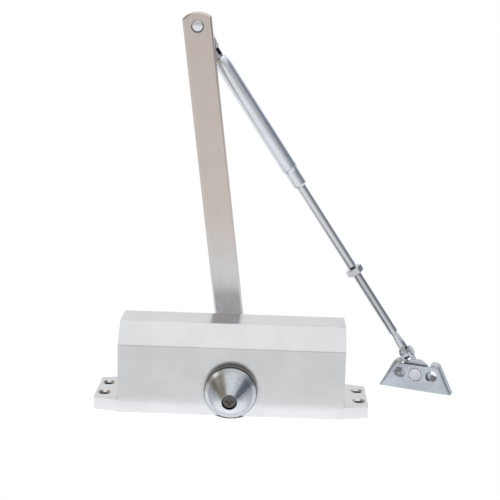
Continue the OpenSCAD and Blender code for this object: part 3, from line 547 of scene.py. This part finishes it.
def rubber_finish():
    """Matt black rubber with a dusty bloom."""
    f = Finish("seal_rubber", metallic=0.0, edge=False)
    rgb = colours().rubber
    bloom = f.noise(1.5 * MM, 3)
    base = f.mix(bloom.step(0.4, 0.8) * 0.5, rgb, tint(rgb, 3.0))
    return f.set(base, 0.55 + bloom * 0.2, f.noise(0.3 * MM, 2), 0.01 * MM)


def dress(material, *nodes):
    """Gives CAD nodes a finish in place of their plain colour."""
    for name in nodes:
        materials = NODES[name].data.materials
        materials.clear()
        materials.append(material)


# Surfaces


# How close a vertex lies to a step of its CAD node to belong to it
NEAR = 0.1 * MM


def surface(name, grid, loop_rows=False, crease=32.0):
    """A mesh over a grid of points: one quad between neighbouring rows and columns, with the last
    column joined to the first, and the last row to the first where the rows loop. Points that meet
    are welded, and edges sharper than crease degrees stay sharp."""
    index = np.arange(grid.shape[0] * grid.shape[1]).reshape(grid.shape[:2])
    index = np.hstack([index, index[:, :1]])
    if loop_rows:
        index = np.vstack([index, index[:1]])
    corners = [index[:-1, :-1], index[1:, :-1], index[1:, 1:], index[:-1, 1:]]
    mesh = bpy.data.meshes.new(name)
    quads = np.stack(corners, -1).reshape(-1, 4)
    mesh.from_pydata(grid.reshape(-1, 3).tolist(), [], quads.tolist())
    welded = bmesh.new()
    welded.from_mesh(mesh)
    bmesh.ops.remove_doubles(welded, verts=welded.verts, dist=1e-7)
    bmesh.ops.recalc_face_normals(welded, faces=welded.faces)
    welded.to_mesh(mesh)
    welded.free()
    mesh.polygons.foreach_set("use_smooth", np.ones(len(mesh.polygons), bool))
    mesh.set_sharp_from_angle(angle=math.radians(crease))
    mesh.update()
    piece = bpy.data.objects.new(name, mesh)
    bpy.context.scene.collection.objects.link(piece)
    return piece


def stand_for(piece, material, body, node):
    """Gives a piece its finish and lets it stand for a CAD node on that node's body."""
    piece.data.materials.append(material)
    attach(piece, body)
    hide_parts(node)


def turned_grid(axis, profile, columns):
    """A profile of (station, radius) pairs carried once round an axis: one row for each pair."""
    profile = np.array(profile)
    angle = np.arange(columns) * TURN / columns
    return axis.points(profile[:, :1], profile[:, 1:], angle[None, :])


def thread_radius(station, angle, crest, depth, pitch):
    """Radius of a single-start thread: the fraction of a pitch past the helix, x, gives a ridge
    with flat crest and root, clip(2.2 * (1 - |2x - 1|) - 0.5, 0, 1), over a root that lies depth
    below the crest."""
    x = (station / pitch - angle / TURN) % 1.0
    return crest - depth + depth * np.clip(2.2 * (1 - np.abs(2 * x - 1)) - 0.5, 0, 1)


def threaded_rod_grid(axis, node, pitch, depth, columns=44, rows_per_pitch=8):
    """A plain rod that steps down to a threaded stud. Rows before the step keep the CAD's radii;
    past it the radius follows the thread, which fades in over the first pitch and out over the
    last."""
    bevel, tip_bevel = 0.5 * MM, 0.3 * MM
    station, radius = axis.measure(node)
    start, end, widest = station.min(), station.max(), radius.max()
    crest = radius[station > end - NEAR].max()
    root = crest - depth
    thicker = radius > crest * 1.2
    step, neck = station[thicker].max(), station[radius > widest - NEAR / 2].max()
    rod = radius[(station > neck + NEAR) & thicker].max()
    plain = [(start, 0), (start, widest), (neck, widest), (neck, rod)]
    plain += [(step - bevel, rod), (step, rod - bevel), (step, root)]
    rows = int((end - step) / pitch * rows_per_pitch)
    along = np.linspace(step, end - tip_bevel, rows)[:, None]
    angle = np.arange(columns)[None, :] * TURN / columns
    ridge = thread_radius(along, angle, crest, depth, pitch) - root
    fade = np.clip((along - step) / pitch, 0, 1) * np.clip((end - along) / pitch, 0.2, 1)
    threaded = axis.points(along, root + ridge * fade, angle)
    tip = [(end, root - 0.1 * MM), (end, 0)]
    ends = [turned_grid(axis, profile, columns) for profile in (plain, tip)]
    return np.concatenate([ends[0], threaded, ends[1]])


def nut_grid(axis, node, columns=96):
    """A hexagon nut. Outside, the radius is the smaller of the hexagon's, half the flats over the
    cosine of the angle from the middle of a flat, and a 30 degree chamfer's, which grows by 1.73
    times the distance from the nearer face. Inside is a bore with a countersink at each end. The
    rows loop."""
    chamfer, chamfer_rows, sink, sixth = 0.7 * MM, 10, 0.35 * MM, math.pi / 6
    station, radius = axis.measure(node)
    start, end, bore = station.min(), station.max(), radius.min()
    half_flats = radius.max() * math.cos(sixth)
    angle = np.arange(columns)[None, :] * TURN / columns
    from_flat = (angle + sixth) % (2 * sixth) - sixth
    from_face = np.linspace(0, chamfer, chamfer_rows)[:, None]
    along = np.concatenate([start + from_face, end - from_face[::-1]])
    depth = np.concatenate([from_face, from_face[::-1]])
    outside = np.minimum(half_flats / np.cos(from_flat), half_flats * 0.955 + 1.732 * depth)
    face = half_flats * 0.7
    inside = [(end, face), (end, bore + sink), (end - sink, bore)]
    inside += [(start + sink, bore), (start, bore + sink), (start, face)]
    outer = axis.points(along, outside, angle)
    return np.concatenate([outer, turned_grid(axis, inside, columns)])


def cap_grid(axis, node, columns=144):
    """The cone cap, closed from its open back round the outside and down its bores. Outside, a
    straight rim, a shoulder on part of an ellipse, a short bevel and the cone. Inside, the rows of
    the square socket have a radius of its half side over the larger of |cos| and |sin| of the
    angle. The rows loop."""
    rim_width, cone_height, cone_inset = 4.9 * MM, 15.15 * MM, 2.7 * MM
    rise, drop, broken = 1.1 * MM, 0.8 * MM, 0.4 * MM
    station, radius = axis.measure(node)
    back, tip, rim, bore = station.min(), station.max(), radius.max(), radius.min()
    hollow = radius[station < back + NEAR].min()
    floor = station[np.abs(radius - hollow) < NEAR / 5].max()
    past_socket = floor + 9 * MM
    screw_seat = station[(station > past_socket) & (radius < 3 * MM)].max()
    recess = radius[station > tip - NEAR].min()
    corner = radius[(station > floor - NEAR) & (station < floor + NEAR)].min()
    on_corner = np.abs(radius - corner) < NEAR / 2
    socket_end = station[on_corner & (station < past_socket)].max()
    bend = np.linspace(0, 0.65, 7) * math.pi / 2
    shoulder = [
        (back + rim_width + rise * math.sin(t), rim - drop + drop * math.cos(t)) for t in bend
    ]
    outside = [(back, hollow), (back, rim - broken), (back + broken, rim), *shoulder]
    outside += [(tip - cone_height, rim - cone_inset), (tip - 0.5 * MM, recess + 0.6 * MM)]
    outside += [(tip, recess + 0.25 * MM), (tip, recess)]
    down = [(screw_seat, recess), (screw_seat, bore), (socket_end, bore)]
    angle = np.arange(columns)[None, :] * TURN / columns
    half_side = corner / math.sqrt(2)
    square = half_side / np.maximum(np.abs(np.cos(angle)), np.abs(np.sin(angle)))
    socket = axis.points(np.array([[socket_end], [floor]]), square, angle)
    last = turned_grid(axis, [(floor, hollow)], columns)
    return np.concatenate([turned_grid(axis, outside + down, columns), socket, last])


def domed_rivet_grid(axis, node, dome, lean, columns=72):
    """A rivet whose head is a dome: over it the station falls from the head's rim by
    dome * sqrt(1 - (r / R)^2), where r is the radius and R the head's. The head lies off the
    shank's axis by lean, as it was hammered. The rest keeps the CAD's steps."""
    station, radius = axis.measure(node)
    front, back = station.min(), station.max()
    head = radius[station < front + 0.5 * MM].max()
    shank, closed = radius[station > front + 1.5 * MM].min(), radius.max()
    seat = station[(radius > head - NEAR / 2) & (radius < head + NEAR / 2)].max()
    far_seat = station[radius > closed - NEAR / 2].min()
    bend = np.linspace(0, math.pi / 2, 10)
    top = [(front + dome - dome * math.cos(t), head * math.sin(t)) for t in bend]
    rest = [(seat, shank), (far_seat, shank), (far_seat, closed), (far_seat + 1 * MM, closed)]
    rest += [(back, closed * 0.8), (back, 0)]
    leaning = turned_grid(axis, [*top, (seat, head)], columns) + lean
    return np.concatenate([leaning, turned_grid(axis, rest, columns)])


def spring_grid(axis, node, wire, coils, sides=16, per_coil=48):
    """A wire of round section carried along a helix: angle 2 pi t and a station that climbs by one
    wire a coil over the first and last 0.9 coil and evenly between them, smoothed where the two
    meet. Stations past the ends are cut flat, as on a spring with ground ends."""
    closed, gap, ground, window = 0.9, 0.03 * MM, 0.35, 7
    station, radius = axis.measure(node)
    start, end = station.min(), station.max()
    middle = radius.max() - wire / 2
    t = np.linspace(0, coils, coils * per_coil + 1)
    span = end - start - 2 * ground * wire
    rise = (wire + gap) * closed
    climb = np.interp(t, [0, closed, coils - closed, coils], [0, rise, span - rise, span])
    padded = np.pad(climb, window // 2, mode="edge")
    climb = np.convolve(padded, np.ones(window) / window, mode="valid")
    around = np.arange(sides)[None, :] * TURN / sides
    ring = middle + wire / 2 * np.cos(around)
    along = start + ground * wire + climb[:, None] + wire / 2 * np.sin(around)
    grid = axis.points(np.clip(along, start, end), ring, (t * TURN)[:, None])
    ends = [np.broadcast_to(grid[i].mean(0), (1, sides, 3)) for i in (0, -1)]
    return np.concatenate([ends[0], grid, ends[1]])


def cross_screw_grid(axis, node, recess, columns=120):
    """A pan-headed screw. Over the head's top the surface is lowered by a cross: its depth falls
    with the smaller of |x| and |y| past the wing's half width, and with the larger of them towards
    the wing's end."""
    edge, point, half_width, flank, run_out = 0.55 * MM, 0.5 * MM, 0.52 * MM, 0.22 * MM, 0.5 * MM
    deepest = 1.35 * MM
    station, radius = axis.measure(node)
    tail, top = station.min(), station.max()
    head, shank = radius.max(), radius[station < tail + NEAR].max()
    under = station[radius > head - NEAR / 2].min()
    angle = np.arange(columns)[None, :] * TURN / columns
    profile = [(tail, 0), (tail, shank - point), (tail + point, shank), (under, shank)]
    sides = turned_grid(axis, [*profile, (under, head)], columns)
    bend = np.linspace(0, math.pi / 2, 7)[:, None]
    inner = head - edge
    corner = axis.points(top - edge + edge * np.sin(bend), inner + edge * np.cos(bend), angle)
    ring = np.linspace(inner, 0, 46)[1:, None]
    x, y = np.abs(ring * np.cos(angle)), np.abs(ring * np.sin(angle))
    near, far = np.minimum(x, y), np.maximum(x, y)
    wing = np.clip((half_width + flank - near) / flank, 0, 1)
    reach = np.clip((recess / 2 - far) / run_out, 0, 1)
    depth = deepest * wing * reach * (1 - 0.35 * far / (recess / 2))
    return np.concatenate([sides, corner, axis.points(top - depth, ring, angle)])


# Operators


class CLOSER_OT_body(Operator):
    """Finishes the body casting, its end plugs, glands, bushes and seals"""

    bl_idname = "closer.body"
    bl_label = "Body"

    def execute(self, context):
        dress(casting_finish(), "housing")
        plugs = zinc_finish("plug_zinc", CYLINDER)
        dress(plugs, "valve_end_plug", "spring_end_plug", "gland_nuts")
        dress(bronze_finish(), "spindle_bushes")
        rubber = rubber_finish()
        dress(rubber, "plug_seals", "spindle_seals", "piston_seal")
        dress(rubber, "sweep_valve_seal", "latch_valve_seal")
        return {"FINISHED"}


class CLOSER_OT_mechanism(Operator):
    """Finishes the rack piston, the pinion shaft, the check valve and the two valve screws"""

    bl_idname = "closer.mechanism"
    bl_label = "Mechanism"

    def execute(self, context):
        dress(machined_finish(), "rack_piston", "pinion_shaft", "check_ball", "ball_retainer")
        dress(screw_finish(), "sweep_valve_screw", "latch_valve_screw", "arm_screw")
        return {"FINISHED"}


class CLOSER_OT_spring(Operator):
    """Winds the closing spring with ground ends"""

    bl_idname = "closer.spring"
    bl_label = "Closing spring"

    def execute(self, context):
        grid = spring_grid(CYLINDER, "closing_spring", sizes().wire, sizes().coils)
        piece = surface("closing_spring_wound", grid, crease=50)
        stand_for(piece, spring_finish(), "body", "closing_spring")
        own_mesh(piece)
        return {"FINISHED"}


class CLOSER_OT_cap(Operator):
    """Turns the cone cap and cuts its cross-recessed screw"""

    bl_idname = "closer.cap"
    bl_label = "Cone cap"

    def execute(self, context):
        cap = surface("cone_cap_turned", cap_grid(SPINDLE, "cone_cap"), loop_rows=True, crease=18)
        stand_for(cap, turned_finish(), "spindle", "cone_cap")
        grid = cross_screw_grid(SPINDLE, "cap_screw", sizes().recess)
        screw = surface("cap_screw_crossed", grid)
        stand_for(screw, screw_finish(), "spindle", "cap_screw")
        return {"FINISHED"}


class CLOSER_OT_arm(Operator):
    """Finishes the main arm and its washer, and domes the elbow's rivet"""

    bl_idname = "closer.arm"
    bl_label = "Main arm and elbow"

    def execute(self, context):
        dress(arm_finish(), "main_arm")
        elbow_line = Axis(ELBOW, (0, 1, 0), (0, 0, 1))
        dress(zinc_finish("elbow_zinc", elbow_line), "arm_washer", "elbow_spacer")
        dome, lean = 0.9 * MM, ARM.along * 0.48 * MM
        grid = domed_rivet_grid(elbow_line, "elbow_rivet", dome, lean)
        rivet = surface("elbow_rivet_domed", grid)
        bright = zinc_finish("rivet_head", elbow_line, 1.35)
        stand_for(rivet, bright, "spindle", "elbow_rivet")
        return {"FINISHED"}


class CLOSER_OT_forearm(Operator):
    """Finishes the sleeve and rods, and cuts the stud's thread and the lock nut's chamfers"""

    bl_idname = "closer.forearm"
    bl_label = "Forearm"

    def execute(self, context):
        dress(sleeve_finish(), "forearm_sleeve", "forearm_ferrule")
        zinc = zinc_finish()
        dress(zinc, "lower_rod")
        dress(eye_finish(), "elbow_eye")
        pitch, depth = sizes().thread_pitch, sizes().thread_depth
        rod = surface("upper_rod_threaded", threaded_rod_grid(FOREARM, "upper_rod", pitch, depth))
        drawn = zinc_finish("drawn_zinc", lightness=1.2)
        stand_for(rod, drawn, "forearm", "upper_rod")
        grid = nut_grid(FOREARM, "lock_nut")
        nut = surface("lock_nut_chamfered", grid, loop_rows=True, crease=20)
        stand_for(nut, zinc, "nut", "lock_nut")
        return {"FINISHED"}


class CLOSER_OT_shoe(Operator):
    """Finishes the shoe, its fork, pin and swivel rivet"""

    bl_idname = "closer.shoe"
    bl_label = "Shoe"

    def execute(self, context):
        dress(sheet_finish(), "shoe_plate", "shoe_fork")
        dress(zinc_finish("rivet_zinc", SWIVEL), "fork_pin", "swivel_rivet")
        return {"FINISHED"}


# Stage

# The room's walls, the even light, the floor, and what the lamps face and where the camera stands
WHITE = (1.0, 1.0, 1.0)
WARM = (0.46, 0.38, 0.29)
COOL = (0.24, 0.27, 0.32)
BEIGE = (0.60, 0.56, 0.53)
CLEAR = (0.82, 0.86, 0.93)
FLOOR = (0.92, 0.92, 0.93)
FLOOR_REACH = 4.0
MIDDLE = (0.02, 0.0, 0.1)
CAMERA_PLACE = (0.02246, -0.70794, 0.25662)
CAMERA_YAW, CAMERA_PITCH, CAMERA_ROLL = -0.019, math.radians(12.358), 0.029
CAMERA_LENS = 83.15


def room_colour(t, x, y, z):
    """The room's colour in a direction, the same for the camera, metal and glass: white behind,
    above and below the horizon. Its other walls are warm at the left, cool at the right and beige
    in front, and the warm one reaches over the left."""
    level = (x * x + y * y).power(0.5).maximum(0.001)
    across, away = x / level, y / level
    sides = t.mix(across.step(-0.3, 0.3), WARM, COOL)
    ends = t.mix(away.step(-0.3, 0.3), BEIGE, WHITE)
    walls = t.mix(abs(away).step(0.45, 0.8), sides, ends)
    above = t.mix(x.step(-0.65, -0.2), WARM, WHITE)
    room = t.mix(z.step(0.3, 0.75) * x.step(0.8, 0.68), walls, above)
    return t.mix(z.step(0.0, 0.1), WHITE, room)


def shown_rays(t):
    """1 for the rays of the camera, of metal and of glass, which see the room as it is."""
    camera, glossy, through = t.rays("Is Camera Ray", "Is Glossy Ray", "Is Transmission Ray")
    return camera.maximum(glossy).maximum(through)


def past_sides(x, y, middle, half):
    """Distance past the sides of a rectangle with its middle and half its lengths."""
    return (abs(x - middle[0]) - half[0]).maximum(abs(y - middle[1]) - half[1])


def floor_finish():
    """A white floor that shows the closer's soft shadow near it. Further out it is clear, for the
    camera, metal and glass alike, so that all three see the room's white below the horizon."""
    zone, fade = 7 * MM, 5 * MM
    material = bpy.data.materials.new("floor")
    t = Tree(material)
    x, y = t.split(t.add("ShaderNodeTexCoord", output="Object"))[:2]
    from_body = past_sides(x, y, (0, 0), (101 * MM, 41 * MM))
    from_shoe = past_sides(x, y, (127 * MM, 66 * MM), (18 * MM, 20 * MM))
    close = from_body.minimum(from_shoe).step(zone, zone - fade)
    sheet = t.add("ShaderNodeBsdfDiffuse", None, {"Color": rgba(FLOOR)})
    clear = t.add("ShaderNodeBsdfTransparent")
    inputs = {0: shown_rays(t) * (1 - close), 1: sheet, 2: clear}
    both = t.add("ShaderNodeMixShader", None, inputs)
    t.add("ShaderNodeOutputMaterial", None, {"Surface": both})
    return material


def add_floor():
    """The floor, just under the mounting plane. It casts no shadow on what hangs below it."""
    mesh = bpy.data.meshes.new("floor")
    signs = [(-1, -1), (1, -1), (1, 1), (-1, 1)]
    corners = [(x * FLOOR_REACH, y * FLOOR_REACH, 0) for x, y in signs]
    mesh.from_pydata(corners, [], [(0, 1, 2, 3)])
    mesh.materials.append(floor_finish())
    floor = bpy.data.objects.new("floor", mesh)
    floor.location.z = -0.1 * MM
    floor.visible_shadow = False
    bpy.context.scene.collection.objects.link(floor)


def room_light():
    """The room as the camera, metal and glass see it, and a weaker even light on the rest."""
    world = bpy.data.worlds.new("room")
    bpy.context.scene.world = world
    t = Tree(world)
    room = room_colour(t, *t.split(t.add("ShaderNodeTexCoord", output="Generated")))
    shown = shown_rays(t)
    settings = {"Color": t.mix(shown, CLEAR, room), "Strength": 0.12 + shown * 0.88}
    background = t.add("ShaderNodeBackground", None, settings)
    t.add("ShaderNodeOutputWorld", None, {"Surface": background})


def softbox(name, place, size, radiance, mirrored=True):
    """A square area lamp at place that faces the closer; its power is radiance times pi times its
    area. Metal shows it where it is mirrored."""
    lamp = bpy.data.lights.new(name, "AREA")
    lamp.size, lamp.energy = size, radiance * math.pi * size * size
    holder = bpy.data.objects.new(name, lamp)
    holder.visible_glossy = mirrored
    bpy.context.scene.collection.objects.link(holder)
    holder.location = place
    facing = (Vector(MIDDLE) - Vector(place)).to_track_quat("-Z", "Y")
    holder.rotation_euler = facing.to_euler()


def add_camera():
    """The camera, turned by its yaw from Y, its pitch down from level and its roll."""
    yaw, pitch, roll = CAMERA_YAW, CAMERA_PITCH, CAMERA_ROLL
    heading = Vector((math.sin(yaw), math.cos(yaw), 0))
    forward = heading * math.cos(pitch) - Vector((0, 0, math.sin(pitch)))
    level = Vector((math.cos(yaw), -math.sin(yaw), 0))
    upright = level.cross(forward)
    right = level * math.cos(roll) + upright * math.sin(roll)
    up = upright * math.cos(roll) - level * math.sin(roll)
    camera = bpy.data.objects.new("camera", bpy.data.cameras.new("camera"))
    camera.data.lens = CAMERA_LENS
    turned = Matrix((right, up, -forward)).transposed().to_4x4()
    camera.matrix_world = Matrix.Translation(CAMERA_PLACE) @ turned
    bpy.context.scene.collection.objects.link(camera)
    bpy.context.scene.camera = camera


class CLOSER_OT_stage(Operator):
    """Adds the floor, the room, the softboxes and the camera"""

    bl_idname = "closer.stage"
    bl_label = "Stage"

    def execute(self, context):
        add_floor()
        room_light()
        softbox("front_softbox", (0.05, -1.32, 0.83), 0.1, 1700.0, mirrored=False)
        softbox("left_softbox", (-0.9, -0.5, 0.7), 0.35, 1.6)
        softbox("top_softbox", (0.0, 0.0, 1.5), 1.3, 0.28)
        add_camera()
        context.scene.view_settings.view_transform = "Standard"
        return {"FINISHED"}


OPERATORS = (
    CLOSER_OT_body,
    CLOSER_OT_mechanism,
    CLOSER_OT_spring,
    CLOSER_OT_cap,
    CLOSER_OT_arm,
    CLOSER_OT_forearm,
    CLOSER_OT_shoe,
    CLOSER_OT_stage,
)


class CLOSER_PT_panel(Panel):
    """Lists the closer's settings and the steps that dress it"""

    bl_label = "Door closer"
    bl_space_type = "VIEW_3D"
    bl_region_type = "UI"
    bl_category = "Closer"

    def draw(self, context):
        for settings in (context.scene.closer_sizes, context.scene.closer_colours):
            box = self.layout.box()
            for key in settings.__annotations__:
                box.prop(settings, key)
        for operator in OPERATORS:
            self.layout.operator(operator.bl_idname)


CLASSES = (CloserSizes, CloserColours, *OPERATORS, CLOSER_PT_panel)


def register():
    for cls in CLASSES:
        bpy.utils.register_class(cls)
    bpy.types.Scene.closer_sizes = PointerProperty(type=CloserSizes)
    bpy.types.Scene.closer_colours = PointerProperty(type=CloserColours)


def unregister():
    del bpy.types.Scene.closer_sizes
    del bpy.types.Scene.closer_colours
    for cls in reversed(CLASSES):
        bpy.utils.unregister_class(cls)


def main():
    register()
    for operator in OPERATORS:
        step = getattr(bpy.ops.closer, operator.bl_idname.split(".")[1])
        if step() != {"FINISHED"}:
            raise RuntimeError(f"{operator.bl_idname} didn't finish")


if __name__ == "__main__":
    main()
